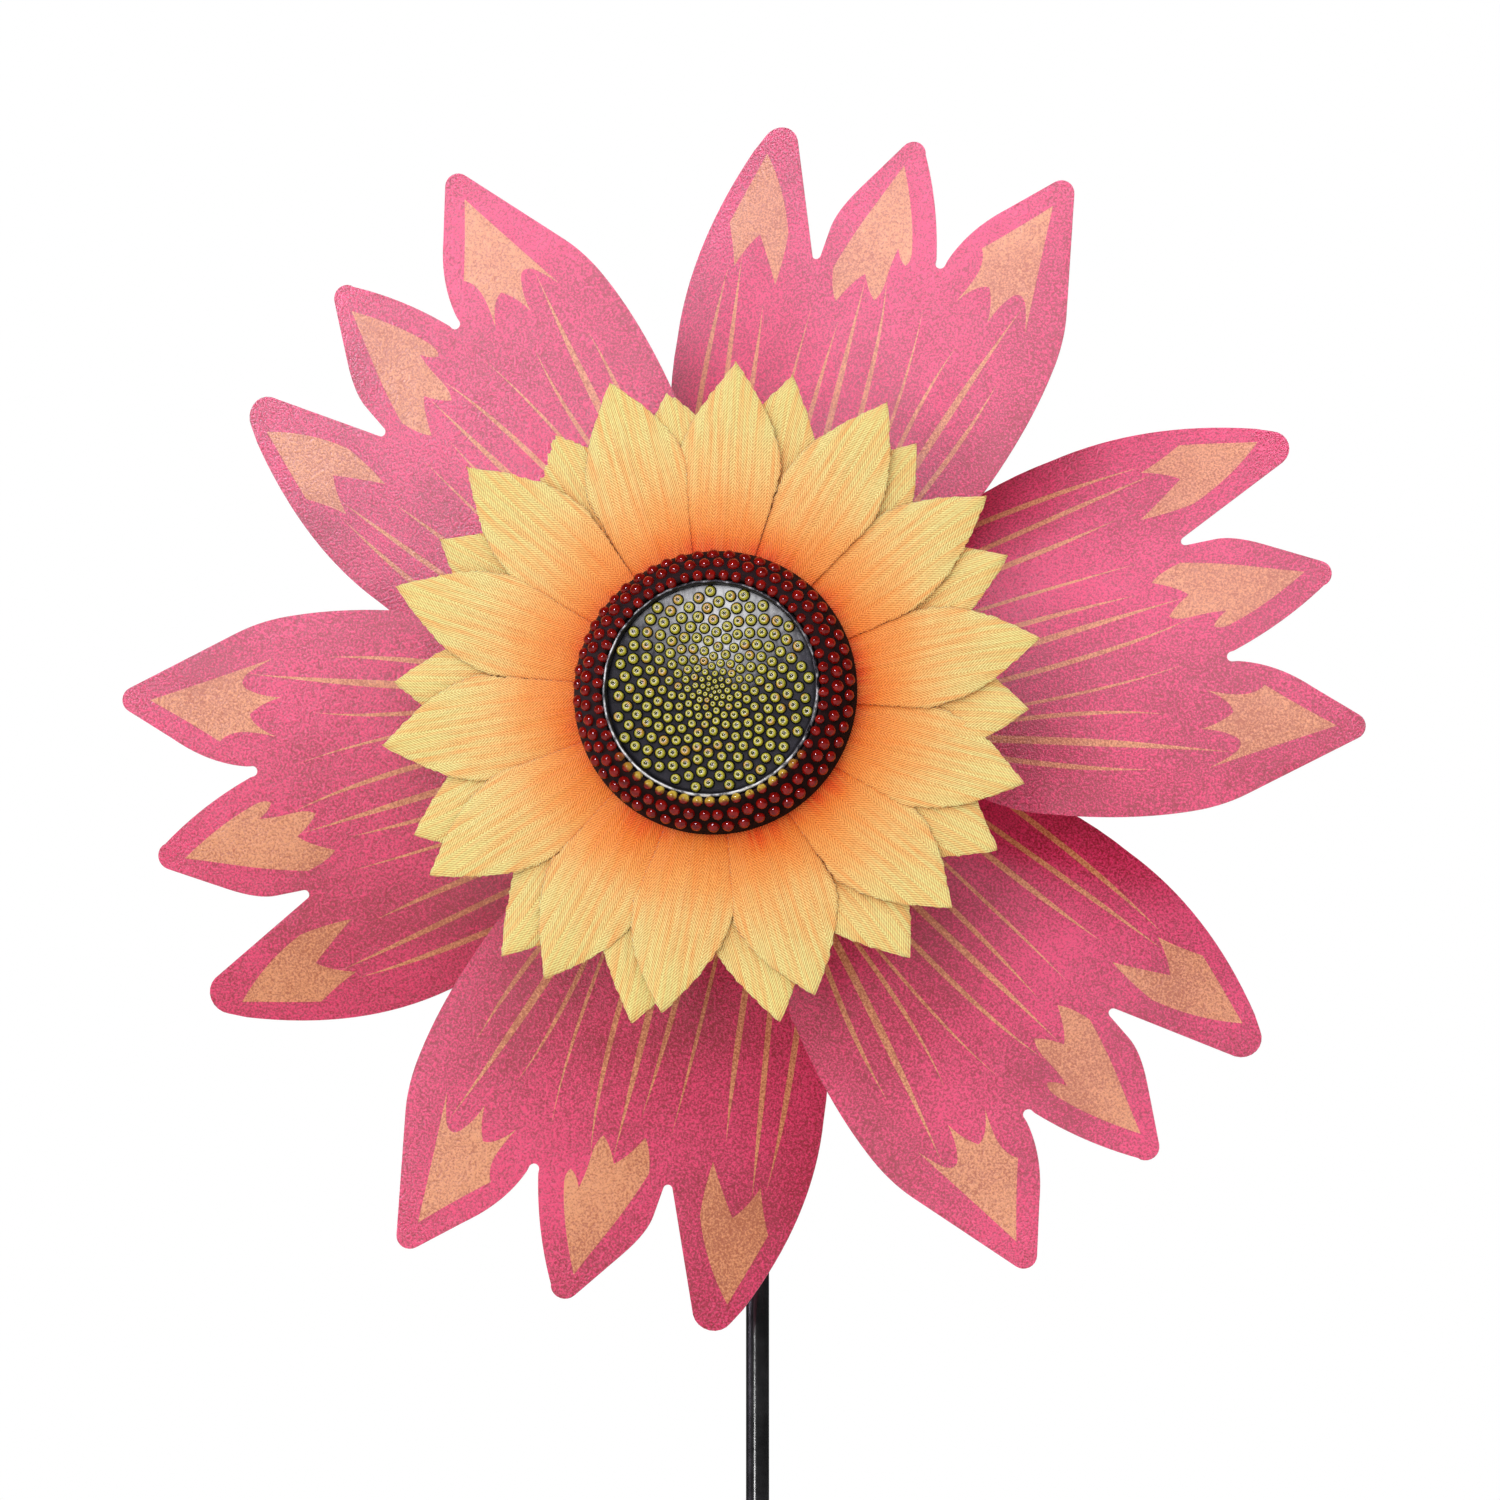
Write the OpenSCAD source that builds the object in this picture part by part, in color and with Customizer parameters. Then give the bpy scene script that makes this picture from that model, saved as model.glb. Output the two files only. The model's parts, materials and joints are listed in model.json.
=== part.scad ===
// Wind spinner: a six-bladed flower wheel that turns on a bolt axle, on a push-in pole.
// The origin is the ground line on the pole's axis. +Z is up and the wheel faces -Y.

/* [Wheel] */
// Height of the wheel's centre above the ground line
wheel_z = 620; // [500:10:900]
// Distance from the pole's axis forward to the blades' roots
wheel_reach = 38; // [36:0.5:44]
// Turn of the first blade from straight up, clockwise from the front
first_blade_turn = 17.5; // [0:0.5:60]

/* [Blade] */
// Thickness of the blade sheet
blade_t = 0.6; // [0.4:0.1:1]
// Radius the sheet is rolled to, bulging towards the front
blade_bend_r = 260; // [220:10:400]
// Pitch of the blades: the clockwise edge stands forward
blade_pitch = 14; // [8:1:16]

/* [Hub] */
// Diameter of the hub flange, the blade plate's disc and the carrier's flange
flange_d = 60; // [56:1:62]
// Thickness of the blade plate and its pads
plate_t = 1.6; // [1.2:0.1:2]
// Diameter of the hub barrel
barrel_d = 20; // [16:1:24]
// Diameter of the screws that hold the blades and the carrier
screw_d = 3; // [2.5:0.5:3]

/* [Flower] */
// Number of petals in each fabric layer
petal_count = 14; // [10:1:16]
// Radius of the front layer's petal tips
petal_tip_r = 99; // [80:1:105]
// Depth the fabric of one layer takes up
petal_t = 2; // [1:0.2:2.4]
// How far the petal tips fall back behind their roots
petal_fall = 5; // [0:0.5:8]
// Outer diameter of the berry ring
seed_d = 85; // [76:1:92]
// Depth of the seed head, from its back to the crest of the berry ring
seed_t = 14; // [12:0.5:16]
// Diameter of the button dish inside the rim
dish_d = 62; // [50:1:66]

/* [Axle] */
// Diameter of the axle bolt
axle_d = 5; // [4:0.5:6]
// Radial running clearance in the bushes and in the pole socket
run_gap = 0.05; // [0.02:0.01:0.08]

/* [Pole] */
// Outer diameter of the pole tubes
tube_d = 7; // [6:0.5:8]
// Wall of the pole tubes
tube_wall = 0.8; // [0.6:0.1:1]
// Length of one tube; the pole has three
tube_len = 262; // [200:2:300]
// Length of the cone on the ground tip
tip_len = 24; // [16:1:40]

/* [Hidden] */
$fn = 72;

red = "#d8325c";
gold = "#f9b957";
steel = "#b8bcc0";
black = "#1b1b1d";

blade_count = 6;
step = 360 / blade_count;      // angle from one blade to the next
sheet_gap = 0.02;              // gap between pieces that are clamped together
easy_gap = 0.1;                // gap round the axle in washers and in the spacer
loose = 0.3;                   // gap beside fabric and at the ends of the running bushes
far = 400;                     // longer than anything that it cuts
small_fn = 32;                 // sides of the small holes and screws

// Places along the axle, forward of the pole's axis
housing_back = 10;
housing_front = 12;
nut_t = 4;
spacer_front = 22;
washer_t = 1;
bush_flange_t = 1.5;
barrel_back = spacer_front + washer_t + loose + bush_flange_t;
barrel_front = barrel_back + 27;
lock_back = barrel_front + bush_flange_t + loose + washer_t;
lock_t = 5;
axle_front = lock_back + lock_t + 3;
hub_flange_t = 3;
plate_front = wheel_reach;
plate_back = plate_front - plate_t;
carrier_t = 2;
carrier_front = axle_front + 18;
calyx_t = 2;
calyx_front = carrier_front + calyx_t;
back_layer = calyx_front + loose;
front_layer = back_layer + petal_t + loose;
seed_back = front_layer + petal_t + loose;

// Bolts, nuts and screws: hexagons are given by the radius to their corners
hex_r = 4.6;
bolt_head_t = 3.5;
bolt_chamfer = 0.6;
washer_r = 5;
lock_collar_r = 3.8;
lock_collar_t = 1.4;
screw_r = screw_d / 2;
screw_hole_r = screw_r + sheet_gap;
screw_head_t = 1.8;
blade_nut_r = 3.2;
blade_nut_t = 2.4;
flower_screw_r = 2;
flower_head_r = 3.8;
flower_head_t = 2.5;

// Radii on the wheel
axle_r = axle_d / 2;
bush_r = axle_r + 2;
barrel_r = barrel_d / 2;
flange_r = flange_d / 2;
carrier_r = 20;
blade_root_r = flange_r + 4;
pad_end_r = blade_root_r + 24;
pad_w = 24;
neck_w = 10;                   // the strip that joins a pad to the disc
screw_rs = [blade_root_r + 6, blade_root_r + 18];
petal_root_r = 24;
petal_half_w = 16.4;
petal_lap = 1.03;              // how far the wedges of neighbouring petals run into one another
cone_r = 34;                   // where the fabric starts to fall back
cone_end_r = 110;              // where it has fallen back by petal_fall
seed_r = seed_d / 2;
dish_r = dish_d / 2;
rim_r = 0.75;                  // half the rim's width
boss_r = 5;
boss_t = 6;
seed_base_t = 2.5;

// The pole, from the top down
tube_r = tube_d / 2;
bore_r = tube_r - tube_wall;
socket_r = 6.5;
socket_depth = 28;
collar_t = 3;
plug_len = 30;
tube_top = wheel_z - 7;
middle_top = tube_top - tube_len - collar_t;
lower_top = middle_top - tube_len - collar_t;
lower_end = lower_top - tube_len;

// ---- Curves ----

// Points on a circular arc, both ends included
function arc(c, r, a0, a1, n = 8) =
    [for (i = [0 : n]) let (a = a0 + (a1 - a0) * i / n) c + r * [cos(a), sin(a)]];

// Points on a curve from p0 to p2 that pulls towards p1
function bend(p0, p1, p2, n = 8) =
    [for (i = [0 : n]) let (t = i / n) (1 - t) * (1 - t) * p0 + 2 * t * (1 - t) * p1 + t * t * p2];

// Blade outline seen from the front: x towards the clockwise edge, y outwards from the hub.
// It runs up the trailing edge, over three lobes with round slots between, and down the leading edge.
function blade_outline() = concat(
    bend([-12, blade_root_r], [-51, 60], [-57.6, 108]),
    bend([-57.6, 108], [-63.2, 137], [-51.8, 170]),
    arc([-43.9, 173], 6, 160, 30),
    arc([-21.1, 142.4], 1.4, 195, 355, 6),
    bend([-19.4, 151], [-19.3, 156.5], [-14.2, 165], 6),
    arc([-0.9, 179], 4.1, 148, 28),
    bend([3, 180], [11.7, 166], [16.3, 149.5]),
    arc([17.95, 148.6], 1.6, 195, 340, 6),
    bend([19.8, 150], [23.2, 161], [33, 170]),
    arc([47.3, 178.7], 4, 135, 12),
    bend([59.9, 143.5], [61.9, 135], [60.9, 125], 6),
    bend([60.9, 125], [59.2, 105], [50.3, 80]),
    bend([50.3, 80], [43, 62], [12, blade_root_r])
);

// Distance from the axle of a place on a petal: t is 0 at its root and 1 at its tip
function petal_r(t) = petal_root_r + (petal_tip_r - petal_root_r) * t;

// Half a petal's width: a wedge as far as its neighbours touch, then a leaf that is widest past its middle
function petal_w(t) = min(
    petal_r(t) * tan(180 / petal_count) * petal_lap,
    petal_half_w * (0.42 + 0.58 * sin(180 * pow(t, 1.25))) * pow(1 - pow(t, 6), 0.8)
);

// One edge of a petal that points along +Y; side is 1 or -1
function petal_side(side, n = 12) =
    [for (i = [0 : n]) let (t = side > 0 ? i / n : 1 - i / n) [side * petal_w(t), petal_r(t)]];

// ---- Placing ----

// Along the axle: x to the side, y out from the axle's line, z forward from the pole's axis
module on_axle() translate([0, 0, wheel_z]) rotate([90, 0, 0]) children();

// A ring about the axle between two places along it
module axle_ring(back, front, r_out, r_in)
    on_axle() translate([0, 0, back]) difference() {
        cylinder(r = r_out, h = front - back);
        translate([0, 0, -1]) cylinder(r = r_in, h = front - back + 2);
    }

// A blade's own place: z outwards along the blade, x towards its clockwise edge, y = 0 on its back face
module at_blade(i)
    translate([0, -plate_front, wheel_z]) rotate([0, first_blade_turn + step * i, 0]) children();

// The space between two rolled surfaces, in a blade's own place; lift 0 is the blade's back face
module rolled(lift_in, lift_out)
    rotate([0, 0, -blade_pitch]) translate([0, blade_bend_r, 0]) difference() {
        cylinder(r = blade_bend_r + lift_out, h = far, $fn = 360);
        translate([0, 0, -1]) cylinder(r = blade_bend_r + lift_in, h = far + 2, $fn = 360);
    }

// Cylinders on the lines of a blade's two screws, square to its surface
module screw_line(r, back, front)
    for (s = screw_rs)
        rotate([0, 0, -blade_pitch]) translate([0, -back, s]) rotate([90, 0, 0])
            cylinder(r = r, h = front - back, $fn = small_fn);

// Where the three carrier screws stand, in the axle's place
module at_carrier_screws()
    for (i = [0 : 2]) rotate(120 * i + 30) translate([flange_r - 5, 0]) children();

// The carrier screws' holes, right through the hub
module carrier_screw_holes()
    on_axle() at_carrier_screws() cylinder(r = screw_hole_r, h = far, center = true, $fn = small_fn);

// ---- Pole ----

module tube(top) color(black)
    translate([0, 0, top - tube_len]) difference() {
        cylinder(r = tube_r, h = tube_len);
        translate([0, 0, -1]) cylinder(r = bore_r, h = tube_len + 2);
    }

// A plug that joins two tubes, with a collar that stays between their ends
module connector(top_of_lower) color(black)
    translate([0, 0, top_of_lower]) {
        translate([0, 0, sheet_gap]) cylinder(r = tube_r + 0.8, h = collar_t - 2 * sheet_gap);
        translate([0, 0, -plug_len]) cylinder(r = bore_r - sheet_gap, h = 2 * plug_len + collar_t);
    }

module pole_tip() color(black)
    translate([0, 0, lower_end - sheet_gap]) {
        translate([0, 0, -tip_len]) cylinder(r1 = 0.6, r2 = tube_r, h = tip_len);
        cylinder(r = bore_r - sheet_gap, h = 20);
    }

// ---- Head ----

module head_housing() color(black) difference() {
    union() {
        translate([0, 0, tube_top - socket_depth]) cylinder(r = socket_r, h = socket_depth + 7);
        translate([0, 0, tube_top - socket_depth]) cylinder(r = socket_r + 1, h = 4);
        translate([0, housing_back, wheel_z]) rotate([90, 0, 0])
            cylinder(r = 7, h = housing_back + housing_front);
        translate([0, 0, wheel_z]) sphere(r = 8.5);
    }
    // socket for the pole, closed at the top just under the axle
    translate([0, 0, tube_top - socket_depth - 1])
        cylinder(r = tube_r + run_gap, h = socket_depth + 1 + 0.2);
    // hole for the axle bolt
    translate([0, housing_back + 1, wheel_z]) rotate([90, 0, 0])
        cylinder(r = axle_r + sheet_gap, h = housing_back + housing_front + 2);
}

module axle_bolt() color(steel) on_axle() {
    translate([0, 0, -housing_back - bolt_head_t])
        cylinder(r = hex_r, h = bolt_head_t - sheet_gap, $fn = 6);
    translate([0, 0, -housing_back - 1])
        cylinder(r = axle_r, h = housing_back + 1 + axle_front - bolt_chamfer);
    translate([0, 0, axle_front - bolt_chamfer])
        cylinder(r1 = axle_r, r2 = axle_r - bolt_chamfer, h = bolt_chamfer);
}

module clamp_nut() color(steel) on_axle()
    translate([0, 0, housing_front + sheet_gap]) difference() {
        cylinder(r = hex_r, h = nut_t - sheet_gap, $fn = 6);
        translate([0, 0, -1]) cylinder(r = axle_r + sheet_gap, h = nut_t + 2);
    }

module rear_spacer() color(black)
    axle_ring(housing_front + nut_t + sheet_gap, spacer_front - sheet_gap, 4.5, axle_r + easy_gap);

module rear_washer() color(steel)
    axle_ring(spacer_front, spacer_front + washer_t, washer_r, axle_r + easy_gap);

module front_washer() color(steel)
    axle_ring(lock_back - washer_t, lock_back - sheet_gap, washer_r, axle_r + easy_gap);

// A lock nut: a hexagon with a round collar on its front
module lock_nut() color(steel) on_axle() translate([0, 0, lock_back]) difference() {
    union() {
        cylinder(r = hex_r, h = lock_t - lock_collar_t, $fn = 6);
        cylinder(r = lock_collar_r, h = lock_t);
    }
    translate([0, 0, -1]) cylinder(r = axle_r + sheet_gap, h = lock_t + 2);
}

// ---- Hub ----

module hub_barrel() color("#303034") difference() {
    union() {
        axle_ring(barrel_back, barrel_front, barrel_r, bush_r);
        axle_ring(plate_back - hub_flange_t, plate_back - sheet_gap, flange_r, barrel_r - 1);
    }
    carrier_screw_holes();
}

// A flanged bush; flip turns it round to sit in the barrel's other end
module bush(flange_back, flip) color("#d9d3c3") on_axle()
    translate([0, 0, flip ? flange_back + bush_flange_t : flange_back]) mirror([0, 0, flip ? 1 : 0])
        difference() {
            union() {
                cylinder(r = bush_r + 2, h = bush_flange_t - sheet_gap);
                cylinder(r = bush_r - sheet_gap, h = 9);
            }
            translate([0, 0, -1]) cylinder(r = axle_r + run_gap, h = 11);
        }

// The disc that the blades are screwed to, with one rolled and pitched pad for each
module blade_plate() color(steel) difference() {
    union() {
        axle_ring(plate_back, plate_front, flange_r, barrel_r + easy_gap);
        for (i = [0 : blade_count - 1]) at_blade(i) {
            translate([-neck_w / 2, 0, flange_r - 2]) cube([neck_w, plate_t, 6]);
            intersection() {
                translate([-pad_w / 2, -20, flange_r + 2]) cube([pad_w, 40, pad_end_r - flange_r - 2]);
                rolled(-plate_t - sheet_gap, -sheet_gap);
            }
        }
    }
    carrier_screw_holes();
    for (i = [0 : blade_count - 1]) at_blade(i) screw_line(screw_hole_r, -8, 8);
}

// ---- Blades ----

module blade(i) color(red) at_blade(i) difference() {
    intersection() {
        rotate([90, 0, 0]) linear_extrude(height = 60, center = true) polygon(blade_outline());
        rolled(0, blade_t);
    }
    screw_line(screw_hole_r, -8, 8);
}

module blade_screws() color(steel)
    for (i = [0 : blade_count - 1]) at_blade(i) {
        screw_line(screw_r, -plate_t - 4, blade_t + 0.1);
        screw_line(screw_d, blade_t + sheet_gap, blade_t + screw_head_t);
    }

module blade_nuts() color(steel)
    for (i = [0 : blade_count - 1]) at_blade(i) difference() {
        for (s = screw_rs)
            rotate([0, 0, -blade_pitch]) translate([0, plate_t + 2 * sheet_gap, s]) rotate([-90, 0, 0])
                cylinder(r = blade_nut_r, h = blade_nut_t, $fn = 6);
        screw_line(screw_hole_r, -10, 8);
    }

// ---- Flower ----

// The cup that stands the flower off the hub, over the end of the axle
module flower_carrier() color(black) difference() {
    union() {
        on_axle() translate([0, 0, plate_front + sheet_gap]) cylinder(r = flange_r, h = carrier_t);
        on_axle() translate([0, 0, plate_front + sheet_gap])
            cylinder(r = carrier_r, h = carrier_front - plate_front - sheet_gap);
        on_axle() translate([0, 0, carrier_front - 8]) cylinder(r1 = carrier_r, r2 = carrier_r + 6, h = 8);
    }
    on_axle() translate([0, 0, plate_front - 1])
        cylinder(r = carrier_r - carrier_t, h = carrier_front - carrier_t - plate_front + 1);
    carrier_screw_holes();
    on_axle() cylinder(r = flower_screw_r + sheet_gap, h = far, $fn = small_fn);
}

module carrier_screws() color(steel) on_axle() at_carrier_screws() {
    translate([0, 0, plate_back - hub_flange_t])
        cylinder(r = screw_r, h = hub_flange_t + plate_t + carrier_t + 1, $fn = small_fn);
    translate([0, 0, plate_front + carrier_t + 2 * sheet_gap])
        cylinder(r = screw_d, h = screw_head_t, $fn = small_fn);
}

// The screw that holds calyx, fabric and seed head to the carrier, with its head inside the cup
module flower_screw() color(steel) on_axle() {
    translate([0, 0, carrier_front - carrier_t - flower_head_t - sheet_gap])
        cylinder(r = flower_head_r, h = flower_head_t);
    translate([0, 0, carrier_front - carrier_t - 1])
        cylinder(r = flower_screw_r, h = seed_back + boss_t - carrier_front + carrier_t);
}

// A shallow plastic saucer behind the fabric
module calyx() color("#4d7a35") on_axle() rotate_extrude(angle = 360) polygon(concat(
    [[flower_screw_r + sheet_gap, carrier_front + sheet_gap], [flange_r, carrier_front + sheet_gap]],
    arc([flange_r, carrier_front + (calyx_t + sheet_gap) / 2], (calyx_t - sheet_gap) / 2, -60, 60, 4),
    [[flange_r, calyx_front], [flower_screw_r + sheet_gap, calyx_front]]
));

// One fabric layer: the star of petals, on a shallow cone that falls back towards the blades
module petal_layer(root, turn) color(gold) on_axle() difference() {
    intersection() {
        translate([0, 0, root - petal_fall - 1]) linear_extrude(height = petal_t + petal_fall + 2)
            for (i = [0 : petal_count - 1]) rotate(turn + 360 * i / petal_count)
                polygon(concat(petal_side(1), petal_side(-1)));
        rotate_extrude() polygon([
            [0, root], [cone_r, root], [cone_end_r, root - petal_fall],
            [cone_end_r, root - petal_fall + petal_t], [cone_r, root + petal_t], [0, root + petal_t]
        ]);
    }
    translate([0, 0, root - 20]) cylinder(r = flower_screw_r + 0.5, h = 40);
}

// ---- Seed head ----

// The backing disc, with the boss that takes the flower screw
module seed_base() color("#2a1a12") on_axle() difference() {
    union() {
        translate([0, 0, seed_back]) cylinder(r = seed_r - 4, h = seed_base_t);
        translate([0, 0, seed_back]) cylinder(r = boss_r, h = boss_t);
    }
    translate([0, 0, seed_back - 1])
        cylinder(r = flower_screw_r + sheet_gap, h = boss_t + 0.2, $fn = small_fn);
}

// The raised ring that is covered with berries: highest beside the rim, round down to its outer edge
module berry_ring() color("#7c1a10") on_axle() translate([0, 0, seed_back]) rotate_extrude() polygon(concat(
    [
        [dish_r + 2 * rim_r + easy_gap, seed_base_t + sheet_gap],
        [seed_r - 4 + sheet_gap, seed_base_t + sheet_gap],
        [seed_r - 4 + sheet_gap, 0]
    ],
    arc([seed_r - 2.5, 2.5], 2.5, -60, 0, 4),
    bend([seed_r, 2.5], [seed_r - 1.5, seed_t - 2], [dish_r + 3.5, seed_t]),
    [[dish_r + 2 * rim_r + easy_gap, seed_t - 0.8]]
));

// The thin bright ridge between the berries and the dish
module rim_ring() color("#c9c9c4") on_axle() translate([0, 0, seed_back]) rotate_extrude() polygon(concat(
    [[dish_r, seed_base_t + 2 * sheet_gap], [dish_r + 2 * rim_r, seed_base_t + 2 * sheet_gap]],
    arc([dish_r + rim_r, seed_t - rim_r - 0.4], rim_r, 0, 180, 8)
));

// The dish of seed buttons, hollow towards its middle
module seed_dish() color("#8d9a3a") on_axle() translate([0, 0, seed_back]) difference() {
    rotate_extrude() polygon(concat(
        [[0, seed_base_t + sheet_gap], [dish_r - sheet_gap, seed_base_t + sheet_gap]],
        bend([dish_r - sheet_gap, seed_t - 3.2], [dish_r / 2, seed_t - 4.8], [0, seed_t - 4.8])
    ));
    cylinder(r = boss_r + sheet_gap, h = boss_t + sheet_gap);
}

pole_tip();
tube(lower_top);  // lower_tube
connector(lower_top);  // lower_connector
tube(middle_top);  // middle_tube
connector(middle_top);  // upper_connector
tube(tube_top);  // upper_tube
head_housing();
axle_bolt();
clamp_nut();
rear_spacer();
rear_washer();
front_washer();
lock_nut();
hub_barrel();
bush(barrel_back - bush_flange_t, false);  // rear_bush
bush(barrel_front, true);  // front_bush
blade_plate();
blade(0);  // blade_1
blade(1);  // blade_2
blade(2);  // blade_3
blade(3);  // blade_4
blade(4);  // blade_5
blade(5);  // blade_6
blade_screws();
blade_nuts();
flower_carrier();
carrier_screws();
flower_screw();
calyx();
petal_layer(back_layer, 180 / petal_count);  // back_petals
petal_layer(front_layer, 0);  // front_petals
seed_base();
berry_ring();
rim_ring();
seed_dish();
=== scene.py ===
"""Looks of the wind spinner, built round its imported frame.

Sizes are in millimetres until mm() turns them to metres; materials and lights are in metres.
"""
import json
import math
import random

import bmesh
import bpy
from mathutils import Matrix, Vector
from mathutils.geometry import delaunay_2d_cdt


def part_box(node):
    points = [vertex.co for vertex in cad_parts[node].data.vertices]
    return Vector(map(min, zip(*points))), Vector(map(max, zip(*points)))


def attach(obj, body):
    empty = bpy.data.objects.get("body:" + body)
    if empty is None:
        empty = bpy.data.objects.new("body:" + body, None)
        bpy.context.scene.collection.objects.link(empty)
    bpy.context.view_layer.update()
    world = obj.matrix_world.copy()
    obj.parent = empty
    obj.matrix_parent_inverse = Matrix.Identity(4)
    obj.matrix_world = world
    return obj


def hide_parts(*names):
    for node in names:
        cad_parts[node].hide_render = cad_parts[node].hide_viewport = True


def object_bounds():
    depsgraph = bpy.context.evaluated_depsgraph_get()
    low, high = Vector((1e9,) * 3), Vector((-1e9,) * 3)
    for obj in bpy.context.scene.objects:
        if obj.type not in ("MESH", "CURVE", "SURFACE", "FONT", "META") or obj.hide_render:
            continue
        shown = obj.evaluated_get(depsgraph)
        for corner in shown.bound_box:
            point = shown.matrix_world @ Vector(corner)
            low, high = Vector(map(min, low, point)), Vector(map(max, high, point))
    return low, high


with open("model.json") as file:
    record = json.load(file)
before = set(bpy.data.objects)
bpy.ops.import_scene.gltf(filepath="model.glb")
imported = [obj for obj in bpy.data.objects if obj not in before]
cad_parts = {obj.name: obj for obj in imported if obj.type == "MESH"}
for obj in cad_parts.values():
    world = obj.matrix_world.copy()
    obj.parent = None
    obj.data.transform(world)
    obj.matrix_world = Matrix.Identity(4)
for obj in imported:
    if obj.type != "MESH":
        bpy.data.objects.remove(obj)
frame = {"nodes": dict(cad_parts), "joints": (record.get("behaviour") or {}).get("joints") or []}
cad_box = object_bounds()
joints = {j["name"]: j for j in frame["joints"]}
MM = 0.001
HUB = Vector(joints["wheel_spin"]["pos_m"])  # the wheel's centre, on the axle's line

# ---- Sizes that the frame gives ----
# How far forward of the pole's axis the blades' backs are at their roots
blade_plane = -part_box("flower_carrier")[1].y / MM
back_petal_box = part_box("back_petals")
front_petal_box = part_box("front_petals")
seed_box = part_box("berry_ring")
dish_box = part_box("seed_dish")
seed_back = -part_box("seed_base")[1].y / MM
seed_front = -seed_box[0].y / MM
seed_radius = (seed_box[1].x - seed_box[0].x) / 2 / MM
dish_radius = (dish_box[1].x - dish_box[0].x) / 2 / MM
dish_front = -dish_box[0].y / MM
rim_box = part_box("rim_ring")
rim_crest = (rim_box[1].x - rim_box[0].x + dish_box[1].x - dish_box[0].x) / 4 / MM

# ---- Sizes of the blades and petals, as in the design ----
BLADES = 6
FIRST_BLADE_TURN = 17.5
BLADE_PITCH = math.radians(14)
BLADE_BEND_R = 260
BLADE_T = 0.6
BLADE_ROOT = 34
BLADE_REACH = 150
GRID = 4.0  # spacing of the points inside a blade
GRID_ROW = 0.87  # distance between their rows as a share of it, so that they stand in triangles
GRID_COLUMNS = 18  # on each side of a blade's middle
GRID_CLEAR = 1.6  # how near a grid point may come to a printed curve
PETALS = 14
PETAL_ROOT = 24
PETAL_TIP = 99
PETAL_HALF_W = 16.6
PETAL_LAP = 1.025
PETAL_FALL = 4.5  # how far back the tips hang
FRAY = 0.34  # how far threads stand out of a petal's edge
PETAL_SLIP = (-2.2, 0.7)  # the glued flower sits a little off the axle
CLOTH_T = 0.28
WEAVE_PITCH = 0.00105  # metres from thread to thread
WEAVE_BAND = 0.0052  # metres from one turn of the herringbone to the next


# ---- Curves and small helpers ----
SAME_POINT = 0.05  # two points of an outline that are nearer than this are one


def mm(x, forward, z):
    """A point on the wheel: x right, forward of the pole's axis and z up from the axle's line."""
    return Vector((HUB.x + x * MM, -forward * MM, HUB.z + z * MM))


def arc(c, r, a0, a1, n=8):
    """Points on a circle's arc between two angles in degrees."""
    turns = [math.radians(a0 + (a1 - a0) * i / n) for i in range(n + 1)]
    return [(c[0] + r * math.cos(a), c[1] + r * math.sin(a)) for a in turns]


def bend(p0, p1, p2, n=8):
    """Points on the curve from p0 to p2 that is pulled towards p1."""
    out = []
    for i in range(n + 1):
        t = i / n
        weights = ((1 - t) ** 2, 2 * t * (1 - t), t * t)
        out.append(tuple(sum(w * p[k] for w, p in zip(weights, (p0, p1, p2))) for k in (0, 1)))
    return out


def chain(*curves):
    """The curves end to end, without the points that two of them share."""
    out = []
    for curve in curves:
        for p in curve:
            if not out or math.dist(out[-1], p) > SAME_POINT:
                out.append(p)
    if math.dist(out[0], out[-1]) < SAME_POINT:
        out.pop()
    return out


def inside(p, loop):
    """True if the point is in the closed outline."""
    hit = False
    for (ax, ay), (bx, by) in zip(loop, loop[1:] + loop[:1]):
        if (ay > p[1]) != (by > p[1]) and p[0] < (bx - ax) * (p[1] - ay) / (by - ay) + ax:
            hit = not hit
    return hit


def smooth_step(a, b, x):
    """0 below a, 1 above b and an even ease between them."""
    t = min(max((x - a) / (b - a), 0.0), 1.0)
    return t * t * (3 - 2 * t)


def new_piece(name, verts, faces, mats, indices=None):
    """A smooth-shaded mesh that turns with the wheel."""
    mesh = bpy.data.meshes.new(name)
    mesh.from_pydata([tuple(v) for v in verts], [], faces)
    for m in mats:
        mesh.materials.append(m)
    if indices:
        mesh.polygons.foreach_set("material_index", indices)
    mesh.polygons.foreach_set("use_smooth", [True] * len(mesh.polygons))
    mesh.validate()
    mesh.update()
    ob = bpy.data.objects.new(name, mesh)
    bpy.context.scene.collection.objects.link(ob)
    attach(ob, "wheel")
    return ob


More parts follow.
